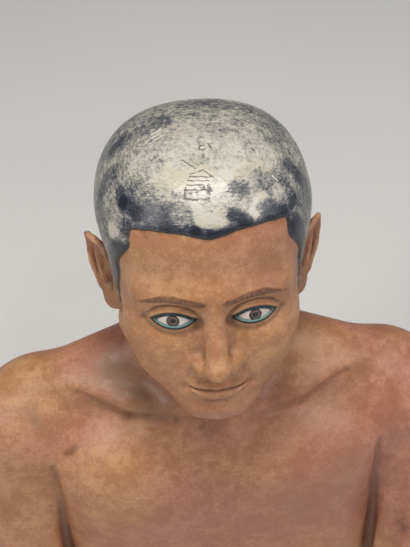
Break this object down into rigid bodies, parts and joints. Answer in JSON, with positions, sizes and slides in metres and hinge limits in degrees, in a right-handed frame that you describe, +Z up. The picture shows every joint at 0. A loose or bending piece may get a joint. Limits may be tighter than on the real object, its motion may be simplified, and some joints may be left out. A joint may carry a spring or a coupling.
{
  "type": "seated scribe statue bust",
  "caption": "Painted limestone bust of a seated scribe: head with a close hair cap and inlaid eyes, neck, shoulders, chest and upper arms, cut flat below.",
  "frame": {"origin": "middle of the flat underside, on the statue's plane of symmetry, below the eye line's upright axis", "axes": "+Z up, the statue looks along -Y, +X is the statue's left side"},
  "size_m": [0.272, 0.1344, 0.2924],
  "materials": {
    "painted_stone": "worn satin paint over limestone, reddish brown skin, black hair paint worn to cream",
    "copper": "blue-green tarnished copper",
    "white_stone": "polished white stone",
    "crystal": "polished rock crystal over a dark backing"
  },
  "bodies": {
    "root": {"statue_body": "painted_stone", "left_eye_rim": "copper", "right_eye_rim": "copper", "left_eye_white": "white_stone", "right_eye_white": "white_stone", "left_eye_crystal": "crystal", "right_eye_crystal": "crystal"}
  },
  "joints": []
}
